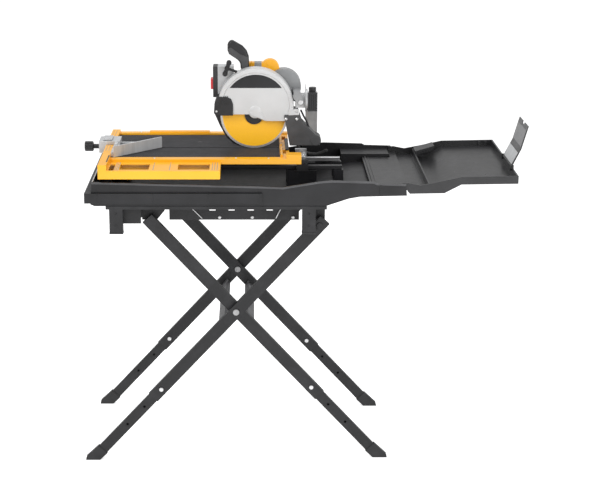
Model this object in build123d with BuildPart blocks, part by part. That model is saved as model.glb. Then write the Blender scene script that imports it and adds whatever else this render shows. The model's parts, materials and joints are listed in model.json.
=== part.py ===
"""Wet tile saw on a folding stand.

Millimetres. +X runs along the rails towards the rear tray, +Y runs away from the
operator, +Z is up. The origin is on the floor, at the centre of the stand's feet.
"""
from build123d import *
import math
import os

os.makedirs("parts", exist_ok=True)

# ---------------------------------------------------------------- sizes: stand
foot_reach = 550.0          # stand centre to the middle of a foot, along X
pivot_height = 598.0        # floor to the scissor pivot
leg_plane = 280.0           # middle of an outer leg tube, from the centre plane
leg_width = 45.0            # leg tube, across its length in the plane of the scissor
leg_depth = 20.0            # leg tube, along Y
leg_wall = 2.0
leg_gap = 3.0               # washer space between an outer and an inner leg
leg_top = 480.0             # pivot to the upper end of a leg
leg_mouth = 465.0           # pivot to the mouth of the upper tube
hinge_reach = 452.0         # pivot to the hinge pin, and to the top bar
pin_reach = 418.0           # pivot to the adjusting pin
hole_pitch = 97.0           # spacing of the adjusting holes
lower_play = 1.0            # lower tube to upper tube, each side
lower_overlap = 85.0        # lower tube held inside the upper one
foot_grip = 60.0            # length of lower tube inside a foot
foot_stop = 22.0            # foot centre to the end of the lower tube
brace_start = 65.0          # pivot to the near edge of a brace
brace_width = 35.0
sheet = 3.0                 # sheet metal of the braces
bolt_radius = 6.0           # pivot bolts and hinge pins
bolt_head_radius = 12.0
bolt_head = 5.5
pin_radius = 4.9            # adjusting pin
running = 0.05              # radial clearance of a shaft in its hole
gap = 0.3                   # air between pieces that move past each other

# ---------------------------------------------------------- sizes: base and tub
tub_left = -519.0
tub_right = 618.0
tub_half = 320.0            # half width of the tub
tub_bottom = 1013.0
tub_wall = 6.0
rim_left = 1102.0           # rim height at the left end
rim_dip = 1083.0            # rim height where it dips beside the cart
rim_high = 1106.0           # rim height along the extension
rim_right = 1095.0
band_left = -546.0          # outer end of the moulded band
band_half = tub_half + 10.0
band_bottom = 1025.0
band_top = 1062.0
frame_plate = 12.0          # depth of the steel base frame
frame_sheet = 4.0           # steel of the base frame
frame_left = -470.0
frame_half = 323.0
frame_inner = 226.0         # half width of the frame's opening
frame_rail = 50.0           # width of the frame's end members
corner_left = -458.0
corner_width = 49.0
corner_inner = 295.0        # inner face of a corner leg, from the centre plane
corner_bottom = 916.0
corner_wall = 4.0
pad_height = 8.0
hinge_plate = 8.0
hinge_to_frame_end = 24.0
corner_to_hinge = 65.0       # left face of a right-hand corner leg to the hinge
rail_slot = (23.0, 10.0)
slotted_left = -245.0
slotted_right = 232.0
slotted_bottom = 940.0
gusset_right = -262.0
gusset_plate = (-410.0, -345.0)
ledge = (410.0, 598.0)      # raised ledge at the rear of the extension
ledge_top = 1085.0
slot_centres = (-86, -16, 54, 124)
slot_z = 980.0
drain_place = (-300.0, -200.0)
drain_radius = 15.0

# --------------------------------------------------------------- sizes: cart
rail_front = -90.0          # middle of the front guide rail
rail_rear = 45.0
rail_size = 16.0
rail_top = 1112.0
rail_left = -508.0
rail_right = 395.0
deck_top = 1158.0
deck_thick = 11.0
deck_left = -461.0
deck_right = 163.0
deck_front = -169.0
deck_rear = tub_half - 89.0
slot_half = 6.0             # half of the blade's gap between the deck halves
casting_bottom = 1141.0
fence_left = -492.0
fence_top = 1172.0
grip_front = -350.0         # front edge of the cart's handle section
grip_right = -55.0
grip_top = 1150.0
grip_bottom = 1120.0
grip_wall = 5.0
strip_front = -205.0
strip_right = 240.0
strip_top = 1160.0
end_bar_width = 35.0
far_edge = tub_half - 52.0
far_top = 1164.0
roller_radius = 12.7
roller_half = 10.0
axle_radius = 4.0
roller_places = (-430.0, -70.0)
cheek = 6.0
guide_angle = 45.0
guide_length = 237.0
guide_tip = (-283.0, -8.0)
guide_thick = 5.0
guide_top = 1202.0
guide_lift = 3.0            # guide above the deck
bracket_span = (-15.0, 75.0)
knob_radius = 17.5
stud_radius = 4.0

# --------------------------------------------------------------- sizes: head
blade_radius = 127.0
blade_thick = 2.4
blade_x = 67.0
blade_z = 1284.0
spindle_radius = 8.0
flange_radius = 35.0
flange_thick = 5.8
nut_flats = 24.0
guard_x = 73.0
guard_z = 1322.0
guard_radius = blade_radius + 15.0
guard_half = 26.0
guard_wall = 4.0
cover_half = guard_half + 6.0  # half width of the bumper and the skirt
lock_place = 116.0          # place of the lock knob round the guard, in degrees
lock_tilt = 20.0
guard_edge_high = 1291.0
guard_edge_low = 1266.0
motor_x = 102.0
motor_z = 1400.0
motor_radius = 48.0
motor_wall = 5.0
motor_cover = (47.0, 128.0)     # wiring cover on top of the motor, along X
motor_cover_back = 95.0
motor_cover_top = 1472.0
motor_lobe = (127.0, 1449.0, 35.0)
motor_back = 222.0
case_front = 26.0
case_back = 62.0
case_wall = 4.0
spindle_boss = 44.0
motor_boss = 46.0
bearing_radius = 16.0
bearing_width = 9.0
pulley_radius = 28.0
motor_pulley_radius = 18.0
belt_width = 8.0
belt_thick = 4.0
rotor_radius = 38.0
shaft_radius = 6.0
lift_x = guard_x + guard_radius + 25.0  # axis on which the head lifts
lift_z = 1340.0
ear_radius = 12.0
ear_inner = 27.0
ear_outer = 44.0
yoke_disc = 42.0
yoke_shaft = 10.0
arm_left = lift_x + 28.0
arm_right = arm_left + 35.0
arm_front = -45.0
arm_bottom = 1306.0
arm_top = 1378.0
arm_wall = 8.0
arm_web = 50.0              # front of the hollow in the arm
knob_place = (arm_left + 17.0, -20.0)
knob_seat = 8.0             # flat seat of the clamp knob, below the arm's top
arm_knee = (130.0, 1300.0)  # point in Y and Z where the arm's underside turns down
arm_drop = 62.0             # fall of the arm from its front to the column
column_left = arm_left + 3.0
column_right = arm_left + 49.0
column_front = tub_half - 41.0
column_back = tub_half - 1.0
column_foot = 1108.0

# --------------------------------------------------------------- sizes: tray
tray_left = 622.0
tray_right = 1020.0
tray_half = tub_half - 12.0
tray_wall = 6.0
tray_rim = 1122.0
tongue_left = 492.0         # left edge of the tray's tongue
tongue_rear = 205.0
hook_left = 602.0
tongue_bottom = 1069.0
tongue_top = 1074.0
flap_span = (-190.0, -10.0)
flap_pin = 3.0
flap_thick = 3.0
flap_ear = 6.0

# ------------------------------------------------------------ worked-out places
leg_angle = math.atan2(pivot_height, foot_reach)
leg_length = math.hypot(pivot_height, foot_reach)
leg_cos = math.cos(leg_angle)
leg_sin = math.sin(leg_angle)
inner_plane = leg_plane - leg_depth - leg_gap
hinge_x = hinge_reach * leg_cos
hinge_z = pivot_height + hinge_reach * leg_sin
frame_right = hinge_x + hinge_to_frame_end
corner_right = hinge_x - corner_to_hinge
plate_bottom = min(corner_bottom, hinge_z - bolt_radius - hinge_plate)
frame_bottom = tub_bottom - frame_plate
tub_floor = tub_bottom + tub_wall
rail_bottom = rail_top - rail_size
deck_bottom = deck_top - deck_thick
axle_z = rail_top + gap + roller_radius
sides = (("front", -1), ("rear", 1))


def side(y):
    """A plane facing the operator at depth y: local x is X and local y is Z."""
    return Plane(origin=(0, y, 0), x_dir=(1, 0, 0), z_dir=(0, -1, 0))


def leg_face(lean, y):
    """A plane along a leg. Lean 1 rises to the right and lean -1 rises to the left."""
    return Plane(
        origin=(0, y, pivot_height),
        x_dir=(lean * leg_cos, 0, leg_sin),
        z_dir=(0, -lean, 0),
    )


def block(xs, ys, zs, mode=Mode.ADD):
    """A box between two limits on each axis."""
    middle = [sum(span) / 2 for span in (xs, ys, zs)]
    sizes = [abs(span[1] - span[0]) for span in (xs, ys, zs)]
    with Locations(tuple(middle)):
        Box(*sizes, mode=mode)


def slab(points, ys, mode=Mode.ADD):
    """A side outline in X and Z, given thickness between two depths."""
    with BuildSketch(side(max(ys))) as outline:
        with BuildLine():
            Polyline(*points, close=True)
        make_face()
    extrude(outline.sketch, amount=abs(ys[1] - ys[0]), mode=mode)


def disc(x, z, radius, ys, mode=Mode.ADD):
    """A cylinder along Y between two depths."""
    with BuildSketch(side(max(ys))) as outline:
        with Locations((x, z)):
            Circle(radius)
    extrude(outline.sketch, amount=abs(ys[1] - ys[0]), mode=mode)


def hull(circles, ys, mode=Mode.ADD):
    """A plate wrapped round circles of (x, z, radius), between two depths."""
    with BuildSketch(side(max(ys))) as outline:
        for x, z, radius in circles:
            with Locations((x, z)):
                Circle(radius)
        make_hull()
    extrude(outline.sketch, amount=abs(ys[1] - ys[0]), mode=mode)


def beam(lean, plane_y, along, across, half_depth, mode=Mode.ADD):
    """A bar along a leg: limits along it, limits across it, and half its depth."""
    with BuildSketch(leg_face(lean, plane_y)) as section:
        with Locations((sum(along) / 2, sum(across) / 2)):
            Rectangle(along[1] - along[0], across[1] - across[0])
    extrude(section.sketch, amount=half_depth, both=True, mode=mode)


def leg_hole(lean, plane_y, along, radius, half_depth, mode=Mode.SUBTRACT):
    """A round hole, or pin, across a leg at a distance from the pivot."""
    with BuildSketch(leg_face(lean, plane_y)) as section:
        with Locations((along, 0)):
            Circle(radius)
    extrude(section.sketch, amount=half_depth, both=True, mode=mode)


def save(builder, name):
    """Label a finished piece and write it."""
    builder.part.label = name
    export_step(builder.part, f"parts/{name}.step")


# ------------------------------------------------------------------ the stand
for place, sign in sides:
    for kind, lean, plane in (("outer", 1, leg_plane), ("inner", -1, inner_plane)):
        near_face = sign * plane - leg_depth / 2
        with BuildPart() as leg:
            beam(lean, sign * plane, (-leg_mouth, leg_top), (-leg_width / 2, leg_width / 2), leg_depth / 2)
            bore = leg_width / 2 - leg_wall
            beam(lean, sign * plane, (-leg_mouth - 1, leg_top - 8), (-bore, bore),
                 leg_depth / 2 - leg_wall, Mode.SUBTRACT)
            pivot_hole = bolt_radius if kind == "outer" else bolt_radius + running
            leg_hole(lean, sign * plane, 0, pivot_hole, leg_depth)
            if kind == "outer":
                leg_hole(lean, sign * plane, hinge_reach, bolt_radius + running, leg_depth)
            leg_hole(lean, near_face, -pin_reach, pin_radius + running, leg_wall + 1)
        save(leg, f"{kind}_leg_{place}")

with BuildPart() as outer_brace:
    reach = leg_plane - leg_depth / 2
    beam(1, 0, (-brace_start - brace_width, -brace_start), (-sheet, 0), reach)
    beam(1, 0, (-brace_start - sheet, -brace_start), (-20, 0), reach)
save(outer_brace, "outer_brace")

with BuildPart() as inner_braces:
    reach = inner_plane - leg_depth / 2
    beam(-1, 0, (-brace_start - brace_width, -brace_start), (-sheet, 0), reach)
    beam(-1, 0, (-brace_start - sheet, -brace_start), (-20, 0), reach)
    with BuildSketch(leg_face(-1, 0)):
        with Locations((hinge_reach, 0)):
            Circle(8)
    extrude(amount=reach, both=True)
save(inner_braces, "inner_braces")

with BuildPart() as pivot_bolts:
    for place, sign in sides:
        outside = leg_plane + leg_depth / 2
        inside = inner_plane - leg_depth / 2
        disc(0, pivot_height, bolt_radius, (sign * (inside - bolt_head - gap), sign * outside))
        disc(0, pivot_height, bolt_head_radius, (sign * outside, sign * (outside + bolt_head)))
        nut = inside - gap
        disc(0, pivot_height, bolt_head_radius, (sign * (nut - bolt_head), sign * nut))
save(pivot_bolts, "pivot_bolts")

lower_half = leg_width / 2 - leg_wall - lower_play
lower_depth = leg_depth / 2 - leg_wall - lower_play + 0.2
for place, sign in sides:
    for kind, lean, plane in (("outer", 1, leg_plane), ("inner", -1, inner_plane)):
        lower_end = leg_length - foot_stop
        with BuildPart() as lower_leg:
            beam(lean, sign * plane, (-lower_end, -leg_mouth + lower_overlap),
                 (-lower_half, lower_half), lower_depth)
            beam(lean, sign * plane, (-lower_end - 1, -leg_mouth + lower_overlap + 1),
                 (-lower_half + leg_wall, lower_half - leg_wall), lower_depth - leg_wall, Mode.SUBTRACT)
            for step in range(3):
                leg_hole(lean, sign * plane - lower_depth, -pin_reach - step * hole_pitch,
                         pin_radius + running, leg_wall + 1)
        save(lower_leg, f"lower_{kind}_leg_{place}")

        grip = leg_length - foot_grip
        side_x = lower_half + 3
        with BuildPart() as foot:
            foot_face = leg_face(lean, 0)
            high = foot_face.from_local_coords((-grip, side_x, 0))
            low = foot_face.from_local_coords((-grip, -side_x, 0))
            toe = -lean * foot_reach
            slab([(toe - lean * 27, 0), (toe + lean * 28, 0), (low.X, low.Z), (high.X, high.Z),
                  (toe - lean * 24, 14)],
                 (sign * plane - lower_depth - 3, sign * plane + lower_depth + 3))
            beam(lean, sign * plane, (-lower_end, -grip + 1), (-lower_half, lower_half),
                 lower_depth, Mode.SUBTRACT)
        save(foot, f"{kind}_foot_{place}")

        outer_face = sign * plane - leg_depth / 2
        with BuildPart() as pull_pin:
            nose_plane = outer_face + leg_wall / 2 - gap - 1
            leg_hole(lean, nose_plane, -pin_reach, pin_radius, leg_wall / 2 + 1, Mode.ADD)
            leg_hole(lean, outer_face - gap - 2.5, -pin_reach, 8, 2.5, Mode.ADD)
        save(pull_pin, f"{kind}_pin_{place}")

# ------------------------------------------------------------------- the base
with BuildPart() as water_tub:
    slab([(tub_left - 6, tub_floor), (tub_left, rim_left), (95, rim_dip + 3), (171, rim_dip),
          (300, rim_high - 2), (345, rim_high + 2), (498, rim_high - 2), (509, rim_high - 8),
          (tub_right - 4, rim_right), (tub_right, 1052), (449, 1048), (409, 1041),
          (326, tub_bottom), (tub_left + 9, tub_bottom)], (-tub_half, tub_half))
    inside = tub_half - tub_wall
    slab([(tub_left + tub_wall, rim_high + 20), (tub_left + 3, tub_floor), (322, tub_floor),
          (405, 1047), (447, 1054), (tub_right - tub_wall, 1058), (tub_right - tub_wall, rim_high + 20)],
         (-inside, inside), Mode.SUBTRACT)
    end_wall = (tub_right - tub_wall - 4, tub_right + 4)
    block(end_wall, (-inside, inside), (tongue_bottom, rim_high + 20), Mode.SUBTRACT)
    block(ledge, (tongue_rear + 8, tub_half - 2), (1045, ledge_top))
    for sign in (-1, 1):
        block((band_left, 95), (sign * (tub_half - 2), sign * band_half), (band_bottom, band_top))
        block((520, 526), (sign * (tub_half - 2), sign * (tub_half + 3)), (1054, 1092))
    block((band_left, tub_left - 2), (-band_half, band_half), (band_bottom, band_top))
    for middle in (rail_front, rail_rear):
        block((190, 300), (middle - 25, middle + 25), (tub_bottom, rail_bottom))
        block((tub_left + 3, -470), (middle - 36, middle + 36), (tub_bottom, rail_bottom))
        block((rail_right - 30, rail_right + 5), (middle - 15, middle + 15), (1040, rail_bottom))
    block((column_left - 12, column_right + 12), (column_front - 6, tub_half), (tub_bottom, column_foot))
    with Locations((*drain_place, tub_bottom)):
        Cylinder(drain_radius, 40, mode=Mode.SUBTRACT)
save(water_tub, "water_tub")

with BuildPart() as drain_plug:
    with BuildSketch(Plane.XY.offset(tub_floor + gap)):
        with Locations(drain_place):
            Circle(drain_radius + 6)
    extrude(amount=4)
    with BuildSketch(Plane.XY.offset(tub_floor + gap)):
        with Locations(drain_place):
            Circle(drain_radius - running)
    extrude(amount=-14)
    with BuildSketch(Plane.XY.offset(tub_floor + gap)):
        with Locations(drain_place):
            Circle(drain_radius / 3)
    extrude(amount=18)
save(drain_plug, "drain_plug")

with BuildPart() as base_frame:
    frame_top = tub_bottom - frame_sheet
    block((frame_left, frame_right), (-frame_half, frame_half), (frame_bottom, tub_bottom))
    block((frame_left + frame_sheet, frame_right - frame_sheet),
          (-frame_half + frame_sheet, frame_half - frame_sheet), (frame_bottom - 1, frame_top), Mode.SUBTRACT)
    block((frame_left + frame_rail - frame_sheet, frame_right - frame_rail + frame_sheet),
          (-frame_inner - frame_sheet, frame_inner + frame_sheet), (frame_bottom, tub_bottom))
    block((frame_left + frame_rail, frame_right - frame_rail), (-frame_inner, frame_inner),
          (frame_bottom - 1, tub_bottom + 1), Mode.SUBTRACT)
    for sign in (-1, 1):
        for left in (corner_left, corner_right):
            right = left + corner_width
            block((left, right), (sign * corner_inner, sign * frame_half), (corner_bottom, frame_top))
            block((left + corner_wall, right - corner_wall),
                  (sign * (corner_inner + corner_wall), sign * (frame_half - corner_wall)),
                  (corner_bottom - 1, frame_top), Mode.SUBTRACT)
        plate_face = leg_plane - leg_depth / 2 - 4
        block((corner_right + corner_width + 1, frame_right - frame_sheet),
              (sign * (plate_face - hinge_plate), sign * plate_face), (plate_bottom, frame_top))
        hole_span = (sign * (plate_face - 20), sign * (plate_face + 20))
        disc(hinge_x, hinge_z, bolt_radius, hole_span, Mode.SUBTRACT)
        bar_top = hinge_z + 8 + 2
        slab([(corner_left + corner_width, frame_top), (gusset_right, frame_top),
              (gusset_right, 975), (gusset_right - 28, bar_top), (-345, bar_top), (-345, bar_top + 8),
              (corner_left + corner_width, bar_top + 8)],
             (sign * 228, sign * 240))
        block(gusset_plate, (sign * (corner_inner - sheet), sign * corner_inner), (bar_top, frame_top))
save(base_frame, "base_frame")

with BuildPart() as corner_pads:
    for sign in (-1, 1):
        for left in (corner_left, corner_right):
            block((left - 1, left + corner_width + 1), (sign * (corner_inner - 1), sign * (frame_half + 1)),
                  (corner_bottom - pad_height, corner_bottom))
save(corner_pads, "corner_pads")

with BuildPart() as hinge_pins:
    for sign in (-1, 1):
        outside = leg_plane + leg_depth / 2 + gap
        disc(hinge_x, hinge_z, bolt_radius, (sign * (plate_face - hinge_plate), sign * outside))
        disc(hinge_x, hinge_z, bolt_head_radius, (sign * outside, sign * (outside + 4)))
save(hinge_pins, "hinge_pins")

with BuildPart() as slotted_rails:
    for sign in (-1, 1):
        block((slotted_left, slotted_right), (sign * 237, sign * 240), (slotted_bottom, frame_bottom))
        for low in (frame_bottom - sheet, slotted_bottom):
            block((slotted_left, slotted_right), (sign * 226, sign * 240), (low, low + sheet))
        for x in slot_centres:
            block((x - rail_slot[0] / 2, x + rail_slot[0] / 2), (sign * 230, sign * 245),
                  (slot_z - rail_slot[1] / 2, slot_z + rail_slot[1] / 2), Mode.SUBTRACT)
save(slotted_rails, "slotted_rails")

with BuildPart() as guide_rails:
    for middle in (rail_front, rail_rear):
        across = (middle - rail_size / 2, middle + rail_size / 2)
        block((rail_left, rail_right), across, (rail_bottom, rail_top))
    edges_along = guide_rails.edges().filter_by(Axis.X)
    chamfer(edges_along, 1.5)
save(guide_rails, "guide_rails")

with BuildPart() as rail_brackets:
    for middle, out in ((rail_front, -1), (rail_rear, 1)):
        for left in (-508, 225):
            rail_side = middle + out * rail_size / 2
            cheek_in = middle + out * 21
            block((left, left + 43), (rail_side, middle + out * 35), (rail_bottom, rail_bottom + 10))
            block((left, left + 43), (cheek_in, middle + out * 35), (rail_bottom, casting_bottom - 3))
            disc(left + 30, 1122, 7, (middle + out * 35, middle + out * 39))
save(rail_brackets, "rail_brackets")

with BuildPart() as pump:
    block((-480, -410), (90, 165), (tub_floor, 1075))
    with Locations((-445, 127, 1084)):
        Cylinder(9, 20)
save(pump, "pump")

column_top = arm_top - arm_drop
with BuildPart() as support_column:
    block((column_left, column_right), (column_front, column_back), (column_foot, column_top))
    block((column_left - 10, column_right + 10), (column_front - 4, column_back),
          (column_foot, column_foot + 10))
    for inset, mode in ((0, Mode.ADD), (arm_wall, Mode.SUBTRACT)):
        front = arm_front if mode == Mode.ADD else arm_web
        back = column_front + 1 if mode == Mode.ADD else column_front - arm_wall
        fall = [arm_drop * (y - arm_front) / (column_front - arm_front) for y in (front, back)]
        with BuildSketch(Plane.YZ.offset(arm_left + inset)):
            with BuildLine():
                Polyline((front, arm_top - inset - fall[0]), (back, arm_top - inset - fall[1]),
                         (back, arm_bottom + inset - fall[1]), (arm_knee[0], arm_knee[1] + inset),
                         (front, arm_bottom + inset), close=True)
            make_face()
        extrude(amount=arm_right - arm_left, mode=mode)
    with BuildSketch(Plane.YZ.offset(arm_left - 1)):
        with Locations((0, lift_z)):
            Circle(yoke_shaft + running)
    extrude(amount=arm_right - arm_left + 2, mode=Mode.SUBTRACT)
    with BuildSketch(Plane.XY.offset(arm_top + 1)):
        with Locations(knob_place):
            Circle(stud_radius + running)
    extrude(amount=-20 - knob_seat, mode=Mode.SUBTRACT)
    with BuildSketch(Plane.XY.offset(arm_top - knob_seat)):
        with Locations(knob_place):
            Circle(knob_radius)
    extrude(amount=knob_seat + 1, mode=Mode.SUBTRACT)
save(support_column, "support_column")

# ---------------------------------------------------------- the tray and flap
with BuildPart() as rear_tray:
    slab([(tray_left, 1096), (667, 1087), (725, 1098), (815, tray_rim - 4), (tray_right, tray_rim),
          (tray_right, tray_rim - 29), (815, tray_rim - 32), (754, 1058), (tray_left + 8, 1056),
          (tray_left, 1064)],
         (-tray_half, tray_half))
    inside = tray_half - tray_wall
    slab([(tray_left + tray_wall, tray_rim + 20), (tray_left + tray_wall, 1064), (750, 1064),
          (812, tray_rim - 26), (tray_right - tray_wall, tray_rim - 23),
          (tray_right - tray_wall, tray_rim + 20)],
         (-inside, inside), Mode.SUBTRACT)
    joint_wall = (tray_left - 1, tray_left + tray_wall + 1)
    block(joint_wall, (-inside, inside), (tongue_top, tray_rim), Mode.SUBTRACT)
    block((698, 703), (-inside - 1, inside + 1), (1062, 1088))
    tongue_right = tray_left + tray_wall + 1
    tongue_low = tongue_bottom + gap
    block((tongue_left, tongue_right), (-inside, tongue_rear), (tongue_low, tongue_top))
    block((hook_left, tongue_right), (tongue_rear - 1, inside), (tongue_low, tongue_top))
    block((hook_left, hook_left + 5), (-200, 200), (1061, tongue_top))
    for sign in (-1, 1):
        block((hook_left, tray_left + 1), (sign * inside, sign * tray_half), (tongue_low, rim_right))
    pin_x = tray_right - 7
    pin_z = tray_rim + 8
    pin_span = (flap_span[0] - 2 - flap_ear, flap_span[1] + 2 + flap_ear)
    for inner, outer in ((flap_span[0] - 2, pin_span[0]), (flap_span[1] + 2, pin_span[1])):
        block((pin_x - 7, pin_x + 7), (inner, outer), (tray_rim - 6, pin_z + 6))
        disc(pin_x, pin_z, flap_pin + running, (inner, outer), Mode.SUBTRACT)
save(rear_tray, "rear_tray")

with BuildPart() as end_flap:
    disc(pin_x, pin_z, 5, flap_span)
    disc(pin_x, pin_z, flap_pin, pin_span)
    slab([(pin_x - 2, pin_z + 1), (pin_x + 30, pin_z + 66), (pin_x + 53, pin_z + 150),
          (pin_x + 53 + flap_thick, pin_z + 149), (pin_x + 30 + flap_thick, pin_z + 64),
          (pin_x + 2, pin_z - 1)],
         flap_span)
    middle = sum(flap_span) / 2
    block((pin_x + 40, pin_x + 70), (middle - 18, middle + 18), (pin_z + 140, pin_z + 160), Mode.SUBTRACT)
    with BuildSketch(Plane.YZ.offset(pin_x + 30)):
        with Locations((middle - 35, pin_z + 128)):
            Circle(5)
    extrude(amount=40, mode=Mode.SUBTRACT)
save(end_flap, "end_flap")

# ------------------------------------------------------------------- the cart
with BuildPart() as cart_frame:
    block((fence_left, grip_right), (grip_front, strip_front), (grip_bottom, grip_top))
    block((fence_left + grip_wall, grip_right - grip_wall), (grip_front + grip_wall, strip_front - grip_wall),
          (grip_bottom - 1, grip_top - grip_wall), Mode.SUBTRACT)
    for xs in ((-418, -312), (-208, -94)):
        block(xs, (grip_front + 25, strip_front - 30), (grip_bottom, grip_top + 1), Mode.SUBTRACT)
        for wall in (xs[0] - grip_wall, xs[1]):
            block((wall, wall + grip_wall), (grip_front + grip_wall, strip_front - grip_wall),
                  (grip_bottom + 6, grip_top - grip_wall))
    block((-455, -437), (grip_front + 12, strip_front - 35), (grip_bottom, grip_top + 1), Mode.SUBTRACT)
    block((fence_left, strip_right), (strip_front, deck_front), (casting_bottom, strip_top))
    block((strip_right - 55, strip_right), (strip_front, deck_front + 9), (casting_bottom, fence_top + 4))
    block((fence_left, deck_left), (grip_front, far_edge), (casting_bottom, fence_top))
    block((deck_right, deck_right + end_bar_width), (deck_front, far_edge), (casting_bottom, strip_top))
    for y in (-110, 130):
        bar_hole = (deck_right + 10, deck_right + 25)
        block(bar_hole, (y, y + 60), (casting_bottom - 1, strip_top + 1), Mode.SUBTRACT)
    block((fence_left, deck_right + end_bar_width), (deck_rear, far_edge), (casting_bottom, far_top))
    block((-345, -108), (deck_rear + 9, far_edge), (casting_bottom, far_top + 5))
    for x in roller_places:
        block((x - 20, x + 20), (deck_front, deck_rear), (casting_bottom, deck_bottom))
        for middle in (rail_front, rail_rear):
            for out in (-1, 1):
                inner = middle + out * (roller_half + 2)
                block((x - 10, x + 10), (inner, inner + out * cheek), (axle_z - 8, casting_bottom))
                disc(x, axle_z, axle_radius + running, (inner, inner + out * cheek), Mode.SUBTRACT)
save(cart_frame, "cart_frame")

with BuildPart() as cart_deck:
    for ys in ((deck_front, -slot_half), (slot_half, deck_rear)):
        block((deck_left, deck_right), ys, (deck_bottom, deck_top))
save(cart_deck, "cart_deck")

for end, x in zip(("left", "right"), roller_places):
    for place, middle in (("front", rail_front), ("rear", rail_rear)):
        with BuildPart() as roller:
            disc(x, axle_z, roller_radius, (middle - roller_half, middle + roller_half))
            disc(x, axle_z, axle_radius, (middle - roller_half - 2 - cheek, middle + roller_half + 2 + cheek))
        save(roller, f"roller_{place}_{end}")

guide_bottom = deck_top + guide_lift
with BuildPart() as guide_plate:
    run = guide_length * math.sqrt(0.5)
    plate_plane = Plane(
        origin=(guide_tip[0] - run / 2, guide_tip[1] - run / 2, guide_bottom),
        x_dir=(math.cos(math.radians(guide_angle)), math.sin(math.radians(guide_angle)), 0),
        z_dir=(0, 0, 1),
    )
    with BuildSketch(plate_plane):
        Rectangle(guide_length, guide_thick)
    extrude(amount=guide_top - guide_bottom)
save(guide_plate, "guide_plate")

jaw_left = fence_left - 28
jaw_right = deck_left + 21
bracket_top = fence_top + 14
knob_y = sum(bracket_span) / 2
knob_z = 1157.0
with BuildPart() as guide_bracket:
    block((jaw_left, jaw_right), bracket_span, (fence_top + gap, bracket_top))
    block((jaw_left, fence_left - gap), bracket_span, (casting_bottom, bracket_top))
    block((deck_left + gap, jaw_right), bracket_span, (guide_bottom, bracket_top))
    block((deck_left + gap, jaw_right), (-168, bracket_span[0]), (guide_bottom, guide_bottom + 18))
    block((jaw_right, -335), (16, 28), (guide_bottom, guide_bottom + 14))
    with BuildSketch(Plane.YZ.offset(jaw_left - 1)):
        with Locations((knob_y, knob_z)):
            Circle(stud_radius + running)
    extrude(amount=fence_left - jaw_left + 1, mode=Mode.SUBTRACT)
    add(guide_plate.part, mode=Mode.SUBTRACT)
save(guide_bracket, "guide_bracket")

with BuildPart() as guide_knob:
    stud = (-546, fence_left + 546 - gap, stud_radius)
    for start, length, radius in ((-578, 33, knob_radius), (-546, 24, 9), stud):
        with BuildSketch(Plane.YZ.offset(start)):
            with Locations((knob_y, knob_z)):
                Circle(radius)
        extrude(amount=length)
save(guide_knob, "guide_knob")

# -------------------------------------------------------- the yoke and its pin
with BuildPart() as bevel_yoke:
    with BuildSketch(Plane.YZ.offset(arm_left - gap)):
        with Locations((0, lift_z)):
            Circle(yoke_disc)
    extrude(amount=-9)
    with BuildSketch(Plane.YZ.offset(arm_left - gap - 1)):
        with Locations((0, lift_z)):
            Circle(yoke_shaft)
    extrude(amount=arm_right - arm_left)
    block((lift_x - 18, arm_left - gap - 8), (-ear_inner + 1, ear_inner - 1), (lift_z - 24, lift_z + 24))
    disc(lift_x, lift_z, bolt_radius, (-ear_inner, ear_inner), Mode.SUBTRACT)
save(bevel_yoke, "bevel_yoke")

with BuildPart() as lift_pin:
    disc(lift_x, lift_z, bolt_radius, (-ear_outer - gap, ear_outer + gap))
    for out in (-1, 1):
        disc(lift_x, lift_z, 9, (out * (ear_outer + gap), out * (ear_outer + 4)))
save(lift_pin, "lift_pin")

seat_z = arm_top - knob_seat
with BuildPart() as bevel_knob:
    with BuildSketch(Plane.XY.offset(seat_z - 17)):
        with Locations(knob_place):
            Circle(stud_radius)
    extrude(amount=19)
    with BuildSketch(Plane.XY.offset(seat_z + 1)):
        with Locations(knob_place):
            RegularPolygon(14, 8)
    extrude(amount=22)
save(bevel_knob, "bevel_knob")

# ------------------------------------------------------------------- the head
front_bearing = (case_front + case_wall, case_front + case_wall + bearing_width)
back_bearing = (case_back - case_wall - bearing_width, case_back - case_wall)
with BuildPart() as head_casting:
    hull([(blade_x, blade_z, spindle_boss), (motor_x, motor_z, motor_boss)], (case_front, case_back))
    block((-10, 60), (case_front + 8, case_back), (1350, 1432))
    block((16, 60), (case_front, case_front + 22), (1400, 1450))
    hull([(178, 1384, 66), (lift_x - 12, lift_z + 12, ear_radius)], (ear_outer, 92))
    hull([(lift_x, lift_z, ear_radius), (140, 1380, 40)], (ear_inner, ear_outer))
    hull([(lift_x, lift_z, ear_radius), (lift_x - 12, lift_z + 22, 16)], (-ear_outer, -ear_inner))
    block((lift_x - 26, lift_x), (-ear_outer, ear_outer), (lift_z + 26, lift_z + 38))
    disc(motor_x, motor_z, motor_radius, (case_back, 93), Mode.SUBTRACT)
    block(motor_cover, (case_back, motor_cover_back), (motor_z, motor_cover_top), Mode.SUBTRACT)
    disc(*motor_lobe, (case_back, motor_cover_back), Mode.SUBTRACT)
    hull([(blade_x, blade_z, spindle_boss - 8), (motor_x, motor_z, motor_boss - 8)],
         (case_front + case_wall, case_back - case_wall), Mode.SUBTRACT)
    disc(blade_x, blade_z, bearing_radius + 8, front_bearing)
    disc(blade_x, blade_z, bearing_radius + 8, back_bearing)
    disc(blade_x, blade_z, bearing_radius, (front_bearing[0], back_bearing[1]), Mode.SUBTRACT)
    disc(blade_x, blade_z, spindle_radius + 1, (case_front - 1, case_front + 6), Mode.SUBTRACT)
    disc(motor_x, motor_z, shaft_radius + 1, (case_back - 6, case_back + 1), Mode.SUBTRACT)
    disc(lift_x, lift_z, bolt_radius + running, (-ear_outer - 1, ear_outer + 1), Mode.SUBTRACT)
    disc(lift_x, lift_z, 10, (ear_outer, 93), Mode.SUBTRACT)
save(head_casting, "head_casting")

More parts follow.
